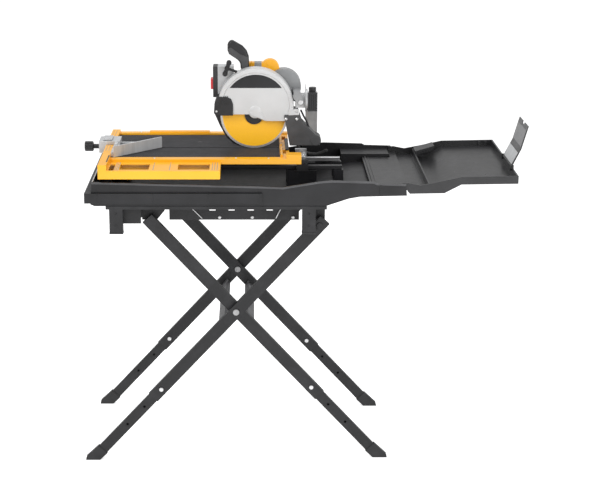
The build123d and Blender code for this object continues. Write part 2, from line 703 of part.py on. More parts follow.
with BuildPart() as motor_housing:
    disc(motor_x, motor_z, motor_radius, (case_back, motor_back))
    block(motor_cover, (case_back, motor_cover_back), (motor_z, motor_cover_top))
    disc(*motor_lobe, (case_back, motor_cover_back))
    disc(motor_x, motor_z, motor_radius - motor_wall, (case_back + motor_wall, motor_back - motor_wall),
         Mode.SUBTRACT)
    front_seat = (case_back + motor_wall, case_back + motor_wall + bearing_width)
    back_seat = (motor_back - motor_wall - bearing_width, motor_back - motor_wall)
    for seat in (front_seat, back_seat):
        disc(motor_x, motor_z, bearing_radius + 4, seat)
        disc(motor_x, motor_z, bearing_radius, seat, Mode.SUBTRACT)
    disc(motor_x, motor_z, shaft_radius + 1, (case_back - 1, case_back + motor_wall), Mode.SUBTRACT)
    for y in range(100, 190, 22):
        for x in (motor_x - 34, motor_x + 20):
            block((x, x + 14), (y, y + 8), (motor_z - motor_radius, motor_z - 20), Mode.SUBTRACT)
save(motor_housing, "motor_housing")

with BuildPart() as ball_bearings:
    for x, z, bore, spans in ((blade_x, blade_z, spindle_radius, (front_bearing, back_bearing)),
                              (motor_x, motor_z, shaft_radius, (front_seat, back_seat))):
        for span in spans:
            disc(x, z, bearing_radius, span)
            disc(x, z, bore + running, span, Mode.SUBTRACT)
save(ball_bearings, "ball_bearings")

belt_middle = (case_front + case_back) / 2
belt_span = (belt_middle - belt_width / 2, belt_middle + belt_width / 2)
with BuildPart() as drive_belt:
    hull([(blade_x, blade_z, pulley_radius + gap + belt_thick),
          (motor_x, motor_z, motor_pulley_radius + gap + belt_thick)], belt_span)
    hull([(blade_x, blade_z, pulley_radius + gap), (motor_x, motor_z, motor_pulley_radius + gap)],
         belt_span, Mode.SUBTRACT)
save(drive_belt, "drive_belt")

with BuildPart() as motor_rotor:
    disc(motor_x, motor_z, shaft_radius, (belt_span[0] - 4, back_seat[1] - 1))
    disc(motor_x, motor_z, motor_pulley_radius, belt_span)
    disc(motor_x, motor_z, rotor_radius, (front_seat[1] + 8, back_seat[0] - 24))
    disc(motor_x, motor_z, rotor_radius * 0.6, (back_seat[0] - 24, back_seat[0] - 6))
save(motor_rotor, "motor_rotor")

half_blade = blade_thick / 2
with BuildPart() as blade_spindle:
    disc(blade_x, blade_z, spindle_radius, (-22, back_bearing[1] - 1))
    disc(blade_x, blade_z, pulley_radius, (belt_span[0] + 0.5, belt_span[1] - 0.5))
save(blade_spindle, "blade_spindle")

with BuildPart() as blade:
    disc(blade_x, blade_z, blade_radius, (-half_blade, half_blade))
    disc(blade_x, blade_z, spindle_radius, (-half_blade, half_blade), Mode.SUBTRACT)
save(blade, "blade")

with BuildPart() as blade_flanges:
    for out in (-1, 1):
        span = (out * half_blade, out * (half_blade + flange_thick))
        disc(blade_x, blade_z, flange_radius, span)
        disc(blade_x, blade_z, spindle_radius, span, Mode.SUBTRACT)
save(blade_flanges, "blade_flanges")

with BuildPart() as arbor_nut:
    nut_back = -half_blade - flange_thick
    with BuildSketch(side(nut_back)):
        with Locations((blade_x, blade_z)):
            RegularPolygon(nut_flats / 2, 6, major_radius=False)
            Circle(spindle_radius, mode=Mode.SUBTRACT)
    extrude(amount=9)
save(arbor_nut, "arbor_nut")

edge = [(guard_x - 200, guard_edge_high), (48, guard_edge_high), (109, guard_edge_low),
        (guard_x + 200, guard_edge_low), (guard_x + 200, 1000), (guard_x - 200, 1000)]
inner_radius = guard_radius - guard_wall
inner_span = (-guard_half + guard_wall, guard_half - guard_wall)
lock_turn = math.radians(lock_place)
lock_reach = guard_radius - 7.4
knob_dir = (-math.cos(math.radians(lock_tilt)), 0, math.sin(math.radians(lock_tilt)))
knob_root = (guard_x + lock_reach * math.cos(lock_turn), 0, guard_z + lock_reach * math.sin(lock_turn))
knob_plane = Plane(origin=knob_root, x_dir=(0, 1, 0), z_dir=knob_dir)
with BuildPart() as blade_guard:
    disc(guard_x, guard_z, guard_radius, (-guard_half, guard_half))
    with BuildSketch(knob_plane):
        Circle(stud_radius + 5)
    extrude(amount=12)
    disc(guard_x, guard_z, inner_radius, inner_span, Mode.SUBTRACT)
    slab(edge, (-guard_half - 1, guard_half + 1), Mode.SUBTRACT)
    disc(blade_x, blade_z, spindle_radius + 6, (0, guard_half + 1), Mode.SUBTRACT)
    with BuildSketch(knob_plane):
        Circle(stud_radius + 1 + running)
    extrude(amount=30, both=True, mode=Mode.SUBTRACT)
save(blade_guard, "blade_guard")

with BuildPart() as lock_knob:
    with BuildSketch(knob_plane):
        Circle(stud_radius + 1)
    extrude(amount=44)
    with BuildSketch(knob_plane):
        Circle(stud_radius + 1)
    extrude(amount=-8)
    with BuildSketch(knob_plane.offset(44)):
        Rectangle(16, 50)
    extrude(amount=15)
save(lock_knob, "lock_knob")

front_x = guard_x - guard_radius
splash_outline = [(-15, guard_edge_high), (7, 1240), (31, 1196), (57, 1172), (83, 1163), (129, 1240),
                  (109, guard_edge_high)]
with BuildPart() as splash_plate:
    slab([(front_x + x, z) for x, z in splash_outline], (9, 12))
save(splash_plate, "splash_plate")

bumper_outline = [(-15, 1296), (-7, 1287), (57, 1287), (57, 1329), (50, 1350), (31, 1358), (-3, 1358),
                  (-13, 1330)]
with BuildPart() as front_bumper:
    slab([(front_x + x, z) for x, z in bumper_outline], (-cover_half, cover_half))
    disc(guard_x, guard_z, guard_radius, (-guard_half, guard_half), Mode.SUBTRACT)
    block((front_x - 21, front_x + 69), (-guard_half, guard_half), (1280, guard_edge_high), Mode.SUBTRACT)
save(front_bumper, "front_bumper")

back_x = guard_x + guard_radius
skirt_outline = [(-36, 1289), (23, 1291), (31, 1266), (85, 1212), (102, 1190), (88, 1172), (-14, 1172),
                 (-28, 1247)]
skirt_hollow = [(-65, 1300), (15, 1300), (23, 1262), (78, 1207), (93, 1189), (81, 1160), (-65, 1160)]
with BuildPart() as rubber_skirt:
    slab([(back_x + x, z) for x, z in skirt_outline], (-cover_half, cover_half))
    slab([(back_x + x, z) for x, z in skirt_hollow], (-guard_half, guard_half), Mode.SUBTRACT)
save(rubber_skirt, "rubber_skirt")

with BuildPart() as handle:
    slab([(-33, 1522), (-33, 1549), (-18, 1564), (-5, 1556), (23, 1540), (39, 1522), (47, 1501), (49, 1464),
          (49, 1450), (16, 1450), (15, 1477), (2, 1489), (-27, 1508)], (case_front, case_front + 28))
save(handle, "handle")

with BuildPart() as switch_box:
    block((-88, -10), (guard_half + 6, 95), (1345, 1462))
    block((-89, -80), (40, 85), (1372, 1416), Mode.SUBTRACT)
save(switch_box, "switch_box")

with BuildPart() as switch_paddle:
    block((-97, -84), (42, 83), (1374, 1414))
save(switch_paddle, "switch_paddle")
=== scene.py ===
import json
import math

import bmesh
import bpy
from mathutils import Matrix, Vector


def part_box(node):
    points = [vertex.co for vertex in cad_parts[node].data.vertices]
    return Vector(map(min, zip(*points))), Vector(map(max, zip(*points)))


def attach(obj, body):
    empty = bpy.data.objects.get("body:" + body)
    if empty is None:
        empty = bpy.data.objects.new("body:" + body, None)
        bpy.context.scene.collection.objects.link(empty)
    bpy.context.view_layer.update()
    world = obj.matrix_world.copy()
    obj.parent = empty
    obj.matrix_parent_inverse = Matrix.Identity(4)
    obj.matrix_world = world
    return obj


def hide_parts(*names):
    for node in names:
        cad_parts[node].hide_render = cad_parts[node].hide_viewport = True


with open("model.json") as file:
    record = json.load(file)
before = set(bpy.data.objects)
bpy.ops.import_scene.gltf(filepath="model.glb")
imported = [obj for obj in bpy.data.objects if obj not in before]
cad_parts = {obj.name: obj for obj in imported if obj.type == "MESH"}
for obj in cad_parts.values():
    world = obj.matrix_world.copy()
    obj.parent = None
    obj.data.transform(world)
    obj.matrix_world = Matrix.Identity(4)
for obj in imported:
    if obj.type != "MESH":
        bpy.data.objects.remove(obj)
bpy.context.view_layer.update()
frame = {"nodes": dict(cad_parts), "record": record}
nodes = frame["nodes"]
record = frame["record"]
bodyOf = {n: body for body, members in record["behaviour"]["bodies"].items() for n in members}
mm = 0.001  # the frame is in metres
print("frame loaded:", len(nodes), "nodes")


class Flow:
    # wraps a shader socket, so that sockets can be added and compared as numbers are
    def __init__(self, tree, socket=None):
        self.tree = tree
        self.socket = socket

    def node(self, kind, settings=None, inputs=None, out=0):
        made = self.tree.nodes.new("ShaderNode" + kind)
        for name, value in (settings or {}).items():
            if name == "stops":
                for element, (place, shade) in zip(made.color_ramp.elements, value):
                    element.position = place
                    element.color = (shade, shade, shade, 1)
            else:
                setattr(made, name, value)
        for name, value in (inputs or {}).items():
            if isinstance(value, Flow):
                self.tree.links.new(value.socket, made.inputs[name])
            else:
                made.inputs[name].default_value = value
        return Flow(self.tree, made.outputs[out])

    def maths(self, operation, first, second=0.0):
        return self.node("Math", {"operation": operation}, {0: first, 1: second})

    def __add__(self, other):
        return self.maths("ADD", self, other)

    def __sub__(self, other):
        return self.maths("SUBTRACT", self, other)

    def __rsub__(self, other):
        return self.maths("SUBTRACT", other, self)

    def __mul__(self, other):
        return self.maths("MULTIPLY", self, other)

    def __gt__(self, other):
        return self.maths("GREATER_THAN", self, other)

    def __lt__(self, other):
        return self.maths("LESS_THAN", self, other)

    __radd__ = __add__
    __rmul__ = __mul__

    def choose(self, low, high):
        return self.node("Mix", {"data_type": "RGBA"}, {0: self, 6: low, 7: high}, out=2)

    def tint(self, low, high):
        return self.choose((*low, 1), (*high, 1))

    def stretch(self, scale):
        return self.node("Mapping", None, {"Vector": self, "Scale": scale})

    def noise(self, scale, detail=3.0, rough=0.5):
        inputs = {"Vector": self, "Scale": scale, "Detail": detail, "Roughness": rough}
        return self.node("TexNoise", None, inputs)

    def cells(self, scale):
        return self.node("TexVoronoi", None, {"Vector": self, "Scale": scale})

    def ramp(self, low, high):
        return self.node("ValToRGB", {"stops": ((low, 0), (high, 1))}, {0: self})

    def part(self, letter):
        return self.node("SeparateXYZ", None, {0: self}, out="XYZ".index(letter))


bumpStrength = 0.6


def material(name, recipe, metallic=0.0, coat=0.0, specular=0.5):
    made = bpy.data.materials.new(name)
    made.use_nodes = True
    tree = made.node_tree
    shader = tree.nodes["Principled BSDF"]
    shader.inputs["Metallic"].default_value = metallic
    shader.inputs["Coat Weight"].default_value = coat
    shader.inputs["Specular IOR Level"].default_value = specular
    start = Flow(tree)
    place = start.node("TexCoord", out=3)
    for socket, value in recipe(place).items():
        if socket == "height":
            depth, height = value
            bump = {"Strength": bumpStrength, "Distance": depth, "Height": height}
            value = start.node("Bump", None, bump)
            socket = "Normal"
        tree.links.new(value.socket, shader.inputs[socket])
    return made


# each recipe takes a dark and a light tone and a roughness, and height is (depth in metres, pattern)
def mouldedPlastic(low, high, rough):
    def recipe(place):
        cloud = place.noise(9, 4).ramp(0.35, 0.7)
        return {"Base Color": cloud.tint(low, high),
                "Roughness": place.noise(40, 3) * 0.12 + rough,
                "height": (0.00012, place.cells(900))}
    return recipe


def powderCoat(low, high, rough):
    def recipe(place):
        scuff = place.noise(14, 6, 0.62).ramp(0.45, 0.72)
        return {"Base Color": scuff.tint(low, high),
                "Roughness": place.noise(90, 4) * 0.18 + rough,
                "height": (0.00010, place.noise(1400, 2))}
    return recipe


def enamel(low, high, rough):
    def recipe(place):
        tone = place.noise(5, 3).ramp(0.3, 0.75)
        return {"Base Color": tone.tint(low, high),
                "Roughness": place.noise(30, 4) * 0.15 + rough,
                "height": (0.00012, place.noise(260, 2))}
    return recipe


def brushed(low, high, rough, along):
    def recipe(place):
        streak = place.stretch(along).noise(60, 4, 0.6)
        return {"Base Color": streak.ramp(0.3, 0.75).tint(low, high),
                "Roughness": streak * 0.2 + rough,
                "height": (0.00006, streak)}
    return recipe


def castMetal(low, high, rough):
    def recipe(place):
        pits = place.noise(420, 3, 0.6)
        tone = place.noise(12, 4).ramp(0.3, 0.75)
        return {"Base Color": tone.tint(low, high),
                "Roughness": pits * 0.2 + rough,
                "height": (0.0003, pits)}
    return recipe


def mattRubber(low, high, rough):
    def recipe(place):
        bloom = place.noise(18, 5, 0.6).ramp(0.35, 0.75)
        return {"Base Color": bloom.tint(low, high),
                "Roughness": place.noise(60, 3) * 0.12 + rough,
                "height": (0.00015, place.noise(700, 3))}
    return recipe


bladeSizes = {"centre": (0.067, 1.284), "rim": 0.119}
# where one node changes finish: the switch's face along X and the column along Y; the guide rails also change
# along Y, from brushed steel on the far side to painted shade on the near side
seams = {"switchFace": -0.070, "column": 0.262, "farRail": -0.03}


def bladeFinish(place):
    x, z = bladeSizes["centre"]
    across = place.part("X") - x
    up = place.part("Z") - z
    square = across * across + up * up
    radius = square.maths("SQRT", square)
    rim = radius > bladeSizes["rim"]
    swirl = place.noise(220, 3)
    yellow = swirl.ramp(0.2, 0.8).tint((0.93, 0.47, 0.008), (0.99, 0.54, 0.014))
    steel = swirl.ramp(0.2, 0.8).tint((0.42, 0.42, 0.43), (0.66, 0.66, 0.67))
    colour = rim.choose(yellow, steel)
    return {"Base Color": colour, "Metallic": rim * 0.8,
            "Roughness": swirl * 0.15 + 0.28, "height": (0.00005, swirl)}


def switchFinish(place):
    face = place.part("X") < seams["switchFace"]
    cloud = place.noise(30, 3).ramp(0.3, 0.75)
    body = cloud.tint((0.40, 0.41, 0.42), (0.52, 0.53, 0.54))
    colour = face.choose(body, (0.018, 0.018, 0.02, 1))
    return {"Base Color": colour, "Roughness": place.noise(60, 3) * 0.15 + 0.38,
            "height": (0.00015, place.noise(500, 3))}


def armFinish(place):
    post = place.part("Y") > seams["column"]
    cloud = place.noise(40, 4).ramp(0.3, 0.75)
    arm = cloud.tint((0.014, 0.014, 0.016), (0.03, 0.03, 0.033))
    grey = cloud.tint((0.40, 0.405, 0.41), (0.54, 0.545, 0.55))
    colour = post.choose(arm, grey)
    return {"Base Color": colour, "Roughness": cloud * 0.12 + 0.34, "height": (0.0002, place.noise(420, 3))}


def railSteelAndShade(place):
    # the near rail and its brackets are painted matte near-black as painted shade; the far rail and its
    # brackets are brushed steel
    far = place.part("Y") > seams["farRail"]
    streak = place.stretch((0.03, 1, 1)).noise(60, 4, 0.6)
    steel = streak.ramp(0.3, 0.75).tint((0.5, 0.5, 0.51), (0.72, 0.72, 0.73))
    nearRailShade = streak.ramp(0.3, 0.75).tint((0.015, 0.015, 0.016), (0.03, 0.03, 0.032))
    colour = far.choose(nearRailShade, steel)
    return {"Base Color": colour, "Metallic": far * 0.95, "Roughness": streak * 0.2 + 0.22,
            "height": (0.00006, streak)}


black = material("black_moulding",
                 mouldedPlastic((0.006, 0.006, 0.007), (0.014, 0.014, 0.016), 0.30), specular=0.4)
trayBlack = material("tray_moulding", mouldedPlastic((0.012, 0.012, 0.013), (0.022, 0.022, 0.024), 0.24))
legPaint = material("leg_paint",
                    powderCoat((0.010, 0.010, 0.011), (0.020, 0.020, 0.022), 0.42), specular=0.4)
yellow = material("yellow_enamel", enamel((0.83, 0.385, 0.007), (0.91, 0.44, 0.011), 0.26), coat=0.25)
rubber = material("black_rubber",
                  mattRubber((0.012, 0.012, 0.013), (0.024, 0.024, 0.026), 0.5), specular=0.4)
skirtRubber = material("skirt_rubber", mattRubber((0.035, 0.035, 0.037), (0.06, 0.06, 0.063), 0.4))
deckRubber = material("deck_rubber",
                      mattRubber((0.028, 0.028, 0.031), (0.045, 0.045, 0.049), 0.5), specular=0.35)
zinc = material("zinc_steel", brushed((0.5, 0.5, 0.5), (0.72, 0.72, 0.73), 0.22, (1, 1, 1)), metallic=0.9)
stainless = material("stainless_rail", railSteelAndShade)
armPaint = material("arm_paint", armFinish)
castGrey = material("cast_grey", castMetal((0.22, 0.225, 0.23), (0.33, 0.335, 0.34), 0.36), metallic=0.25)
stainlessTrim = material("trim_steel",
                         brushed((0.26, 0.26, 0.27), (0.38, 0.38, 0.39), 0.3, (1, 1, 1)), metallic=0.2)
# black moulding made lighter: the lighter tone is a painted highlight along the tub's rim
lipPaintedHighlight = material("lip_painted_highlight", mouldedPlastic((0.045, 0.045, 0.048), (0.075, 0.075, 0.08), 0.3))
flapGrey = material("flap_grey", powderCoat((0.19, 0.19, 0.195), (0.24, 0.24, 0.245), 0.4))
gripGrey = material("grip_grey", mattRubber((0.035, 0.035, 0.037), (0.055, 0.055, 0.058), 0.4))
boltSteel = material("bolt_steel", castMetal((0.22, 0.22, 0.225), (0.42, 0.42, 0.425), 0.3), metallic=0.6)
yokeGrey = material("yoke_grey", castMetal((0.38, 0.385, 0.39), (0.5, 0.505, 0.51), 0.34), metallic=0.2)
paleSheet = material("pale_sheet",
                     brushed((0.46, 0.47, 0.48), (0.58, 0.59, 0.60), 0.3, (1, 1, 0.05)), metallic=0.35)
braceGrey = material("brace_sheet", powderCoat((0.10, 0.10, 0.105), (0.15, 0.15, 0.155), 0.4))
guardSilver = material("guard_silver",
                       castMetal((0.50, 0.505, 0.51), (0.56, 0.565, 0.57), 0.32), metallic=0.15)
bladePaint = material("blade_paint", bladeFinish)
redPlastic = material("red_plastic",
                      mouldedPlastic((0.55, 0.008, 0.012), (0.68, 0.012, 0.02), 0.25), coat=0.3)
switchBody = material("switch_body", switchFinish)
darkSteel = material("dark_steel", castMetal((0.02, 0.02, 0.022), (0.05, 0.05, 0.052), 0.35), metallic=0.6)
print("materials made")


# mesh helpers
mesh = {"sharpAngle": 32, "bevelAngle": 35, "flatAngle": 1, "mergeGap": 2e-6, "turnGap": 1e-6}
toFront = (0, -1, 0)
upwards = (0, 0, 1)


def piece(work, name, body, paint, replaced=()):
    bmesh.ops.recalc_face_normals(work, faces=work.faces)
    data = bpy.data.meshes.new(name)
    work.to_mesh(data)
    work.free()
    data.polygons.foreach_set("use_smooth", [True] * len(data.polygons))
    data.set_sharp_from_angle(angle=math.radians(mesh["sharpAngle"]))
    data.materials.append(paint)
    made = bpy.data.objects.new(name, data)
    bpy.context.scene.collection.objects.link(made)
    weighted = made.modifiers.new("weighted", "WEIGHTED_NORMAL")
    weighted.keep_sharp = True
    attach(made, body)
    if replaced:
        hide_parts(*replaced)


def bevelEdges(work, width, segments=2):
    limit = math.radians(mesh["bevelAngle"])
    sharp = [e for e in work.edges if e.is_manifold and e.calc_face_angle(0) > limit]
    bmesh.ops.bevel(work, geom=sharp, offset=width, offset_type="OFFSET", segments=segments, profile=0.5,
                    affect="EDGES", clamp_overlap=True, material=-1)


def soften(nodeName, width, paint, segments=2):
    # a copy of a CAD node with its edges rounded, which takes that node's place
    work = bmesh.new()
    work.from_mesh(nodes[nodeName].data)
    bmesh.ops.remove_doubles(work, verts=work.verts, dist=mesh["mergeGap"])
    flat = math.radians(mesh["flatAngle"])
    bmesh.ops.dissolve_limit(work, angle_limit=flat, verts=work.verts, edges=work.edges)
    bevelEdges(work, width, segments)
    piece(work, nodeName + "_shell", bodyOf[nodeName], paint, (nodeName,))


def softenAll(rows):
    # each row is a node, the width of its rounding in metres, its paint and the steps of the rounding
    for nodeName, width, paint, segments in rows:
        soften(nodeName, width, paint, segments)


def addBlock(work, low, high):
    made = bmesh.ops.create_cube(work, size=1.0)["verts"]
    bmesh.ops.scale(work, vec=Vector(high) - Vector(low), verts=made)
    bmesh.ops.translate(work, vec=(Vector(high) + Vector(low)) / 2, verts=made)


def addPlate(work, outline, low, high, across="Y"):
    # an outline in X and Z pushed along Y, or in Y and Z pushed along X
    if across == "Y":
        corners = [work.verts.new((a, low, b)) for a, b in outline]
        push = (0, high - low, 0)
    else:
        corners = [work.verts.new((low, a, b)) for a, b in outline]
        push = (high - low, 0, 0)
    face = work.faces.new(corners)
    grown = bmesh.ops.extrude_face_region(work, geom=[face])["geom"]
    bmesh.ops.translate(work, vec=push, verts=[g for g in grown if isinstance(g, bmesh.types.BMVert)])


def addTurned(work, profile, centre, axis, steps=48, turn=360.0, start=0.0):
    # a profile of (along, radius) spun about an axis through centre
    axis = Vector(axis).normalized()
    side = axis.orthogonal().normalized()
    if abs(axis.y) > 0.9:
        side = Vector((1, 0, 0))
    side = Matrix.Rotation(math.radians(start), 3, axis) @ side
    origin = Vector(centre)
    row = [work.verts.new(origin + axis * along + side * radius) for along, radius in profile]
    edges = [work.edges.new(pair) for pair in zip(row, row[1:])]
    bmesh.ops.spin(work, geom=row + edges, cent=origin, axis=axis, angle=math.radians(turn), steps=steps,
                   use_merge=turn >= 360.0, use_duplicate=False)
    bmesh.ops.remove_doubles(work, verts=work.verts, dist=mesh["turnGap"])


def addRod(work, centre, axis, radius, length, sides):
    # a round bar lying along X (axis "Y") or along Y (axis "X")
    turned = Matrix.Translation(centre) @ Matrix.Rotation(math.radians(90), 4, axis)
    bmesh.ops.create_cone(work, cap_ends=True, segments=sides, radius1=radius, radius2=radius, depth=length,
                          matrix=turned)


def addTube(work, path, radius, sides=14):
    # straight lengths with a ball at each turn
    for start, end in zip(path, path[1:]):
        run = Vector(end) - Vector(start)
        turn = run.to_track_quat("Z", "Y").to_matrix().to_4x4()
        turn.translation = (Vector(start) + Vector(end)) / 2
        bmesh.ops.create_cone(work, cap_ends=True, segments=sides, radius1=radius, radius2=radius,
                              depth=run.length, matrix=turn)
    for spot in path:
        bmesh.ops.create_uvsphere(work, u_segments=sides, v_segments=8, radius=radius,
                                  matrix=Matrix.Translation(spot))


def arc(centre, radius, start, end, count):
    step = (end - start) / (count - 1)
    turns = [math.radians(start + step * i) for i in range(count)]
    return [(centre[0] + radius * math.cos(t), centre[1] + radius * math.sin(t)) for t in turns]


def screwHead(work, centre, axis, radius, height):
    profile = [(0, radius), (height * 0.5, radius), (height, radius * 0.6), (height, radius * 0.3),
               (height * 0.55, radius * 0.28), (height * 0.55, 0)]
    addTurned(work, profile, centre, axis, 20)


def span(x, y, z):
    # the low and the high corner of a block, from its three ranges in millimetres
    return tuple(zip(x, y, z))


def ribs(places, width, y, z):
    return [span((x, x + width), y, z) for x in places]


def bars(x, places, width, z):
    return [span(x, (y, y + width), z) for y in places]


def sheets(name, blocks, body, paint, edge=0.0006):
    # several bevelled blocks in one piece, given in millimetres
    work = bmesh.new()
    for low, high in blocks:
        addBlock(work, Vector(low) * mm, Vector(high) * mm)
    bevelEdges(work, edge)
    piece(work, name, body, paint)


def screws(name, spots, axis, size, body, paint=None):
    radius, height = size
    work = bmesh.new()
    for spot in spots:
        screwHead(work, Vector(spot) * mm, axis, radius * mm, height * mm)
    piece(work, name, body, paint or zinc)


def plate(name, outline, near, far, body, paint, slot, edge):
    work = bmesh.new()
    addPlate(work, outline, near, far)
    bevelEdges(work, edge)
    piece(work, name, body, paint)


# the stand
for lean in ("outer", "inner"):
    for place in ("front", "rear"):
        softenAll([(f"{lean}_leg_{place}", 0.0035, legPaint, 3),
                   (f"lower_{lean}_leg_{place}", 0.0025, legPaint, 2),
                   (f"{lean}_foot_{place}", 0.003, rubber, 2), (f"{lean}_pin_{place}", 0.0012, zinc, 2)])
softenAll([("outer_brace", 0.0008, braceGrey, 2), ("inner_braces", 0.0008, braceGrey, 2),
           ("pivot_bolts", 0.002, boltSteel, 2), ("hinge_pins", 0.0015, legPaint, 2)])

# short tabs along each pair of legs, just below the pivot
tabs = {"cos": 550 / 812.46, "sin": 598 / 812.46, "pivot": 0.598, "run": (-0.112, -0.062), "drop": 0.004,
        "depth": 0.02, "edge": 0.0008, "outer": 0.262, "inner": 0.240}
for lean, body, plane in ((1, "stand_outer", tabs["outer"]), (-1, "stand_inner", tabs["inner"])):
    work = bmesh.new()
    along = Vector((lean * tabs["cos"], 0, tabs["sin"]))
    across = Vector((-lean * tabs["sin"], 0, tabs["cos"]))
    origin = Vector((0, 0, tabs["pivot"]))
    start, end = tabs["run"]
    corners = [origin + along * a + across * b for a, b in
               ((start, -tabs["drop"]), (start, 0.0), (end, 0.0), (end, -tabs["drop"]))]
    for out in (-1, 1):
        faces = sorted((out * plane, out * plane - out * tabs["depth"]))
        addPlate(work, [(c.x, c.z) for c in corners], *faces)
    bevelEdges(work, tabs["edge"])
    piece(work, f"{body}_tabs", body, braceGrey)
print("stand done")

# the base
softenAll([("water_tub", 0.004, black, 2), ("base_frame", 0.0015, legPaint, 2),
           ("corner_pads", 0.002, rubber, 2), ("slotted_rails", 0.0008, legPaint, 2),
           ("guide_rails", 0.0008, stainless, 2),
           ("rail_brackets", 0.002, stainless, 2), ("pump", 0.005, black, 2),
           ("support_column", 0.005, armPaint, 3), ("drain_plug", 0.0012, rubber, 2)])

# raised lips along the top of the tub's near and far walls, in the lighter tone that paints the highlight
# along the rim
rimLip = {"height": 7, "edge": 0.0008, "front": (-0.3225, -0.319), "rear": (0.319, 0.3225),
          "top": [(-519, 1102), (95, 1086), (171, 1083), (300, 1104), (345, 1108), (498, 1104), (509, 1098),
                  (614, 1095)]}
lipUpper = [(x * mm, z * mm) for x, z in rimLip["top"]]
lipLower = [(x * mm, (z - rimLip["height"]) * mm) for x, z in reversed(rimLip["top"])]
for side in ("front", "rear"):
    plate(f"rim_lip_{side}", lipUpper + lipLower, *rimLip[side], "base", lipPaintedHighlight, "black_moulding",
          rimLip["edge"])

# a pale strip along the top of the tub's left wall, a painted highlight on that rim
leftRimHighlight = span((-518, -513.5), (-316, -60), (1101.5, 1104))
sheets("left_rim_painted_highlight", [leftRimHighlight], "base", paleSheet)
bandRibs = {"places": (-500, -300, -100, 84), "width": 4, "y": (-331.5, -328), "z": (1027, 1060)}
sheets("band_ribs", ribs(**bandRibs), "base", black, 0.001)
armRibs = {"places": (271, 278.5, 286, 293.5), "width": 4, "y": (-48.5, -43), "z": (1311, 1373)}
sheets("arm_ribs", ribs(**armRibs), "base", black, 0.001)

# bent wires, each from its upper end over a bend to its lower end
wireClip = {"upper": (-169, 169), "lower": (-125, 147), "bend": 0.6, "depth": (247, 245.5, 243),
            "height": (992, 966, 947), "wire": 1.8, "sides": 10}
work = bmesh.new()
for upper, lower in zip(wireClip["upper"], wireClip["lower"]):
    bend = upper * (1 - wireClip["bend"]) + lower * wireClip["bend"]
    for out in (-1, 1):
        route = zip((upper, bend, lower), wireClip["depth"], wireClip["height"])
        path = [Vector((x, out * y, z)) * mm for x, y, z in route]
        addTube(work, path, wireClip["wire"] * mm, wireClip["sides"])
piece(work, "wire_clips", "base", zinc)

frameScrew = {"upper": ((-178, 178), 996), "lower": ((-60, 60, 210), 950), "y": -240, "size": (6, 4)}
frameRows = (frameScrew["upper"], frameScrew["lower"])
frameSpots = [(x, frameScrew["y"], z) for places, z in frameRows for x in places]
screws("frame_screws", frameSpots, toFront, frameScrew["size"], "base")
cornerScrew = {"x": (-434, 265), "y": -323, "z": (940, 985), "size": (4, 2.5)}
cornerSpots = [(x, cornerScrew["y"], z) for x in cornerScrew["x"] for z in cornerScrew["z"]]
screws("corner_screws", cornerSpots, toFront, cornerScrew["size"], "base", legPaint)

waterHose = {"y": 200, "radius": 8, "sides": 18,
             "route": [(239, 1116), (248, 1103), (262, 1094), (287, 1087), (310, 1085), (330, 1090),
                       (350, 1100)]}
work = bmesh.new()
hoseRoute = [Vector((x, waterHose["y"], z)) * mm for x, z in waterHose["route"]]
addTube(work, hoseRoute, waterHose["radius"] * mm, waterHose["sides"])
piece(work, "water_hose", "base", rubber)
railClamp = {"body": span((236, 262), (22, 70), (1094, 1120)),
             "cap": span((240, 258), (30, 62), (1118, 1126))}
sheets("rail_clamp", railClamp.values(), "base", zinc, 0.003)
print("base done")

# the tray and its flap
softenAll([("rear_tray", 0.003, trayBlack, 2), ("end_flap", 0.0008, black, 2)])

trayRidges = {"tall": span((500, 505), (-300, 203), (1073, 1078)),
              "low": span((512, 516), (-300, 203), (1073, 1076)),
              "middle": span((692, 709), (-300, 300), (1062, 1067))}
sheets("tray_ridges", trayRidges.values(), "tray", trayBlack, 0.0012)
trayBoss = {"x": (960, 985), "y": (-301, 295), "long": 12, "wide": 6, "z": (1095, 1119)}
bosses = [span((x, x + trayBoss["long"]), (y, y + trayBoss["wide"]), trayBoss["z"])
          for x in trayBoss["x"] for y in trayBoss["y"]]
sheets("tray_bosses", bosses, "tray", trayBlack, 0.0012)
trayRamp = {"outline": [(0.700, 1.080), (0.770, 1.100), (0.775, 1.121), (0.700, 1.099)],
            "y": (0.200, 0.270), "edge": 0.002}
plate("tray_ramp", trayRamp["outline"], *trayRamp["y"], "tray", trayBlack, "black_moulding",
      trayRamp["edge"])

# thin sheets laid on the flap, each from a start to an end measured off the flap's foot
flapSheet = {"foot": (1.013, 1.130), "inset": 0.014, "startGap": 0.006, "endGap": 0.018, "thick": 0.0007}
flapRows = {"flap_face": ((30, 66), (53, 150), flapGrey), "flap_foot": ((-2, 1), (30, 66), paleSheet)}
flapLow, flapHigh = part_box("end_flap")
for name, (start, end, paint) in flapRows.items():
    footX, footZ = flapSheet["foot"]
    a = Vector((footX + start[0] * mm, 0, footZ + start[1] * mm))
    b = Vector((footX + end[0] * mm, 0, footZ + end[1] * mm))
    along = (b - a).normalized()
    rise = Vector((-along.z, 0, along.x)) * flapSheet["thick"]
    low, high = a + along * flapSheet["startGap"], b - along * flapSheet["endGap"]
    work = bmesh.new()
    addPlate(work, [(c.x, c.z) for c in (low, high, high + rise, low + rise)],
             flapLow.y + flapSheet["inset"], flapHigh.y - flapSheet["inset"])
    piece(work, name, "flap", paint)
print("tray done")

# the cart
soften("cart_frame", 0.003, yellow)

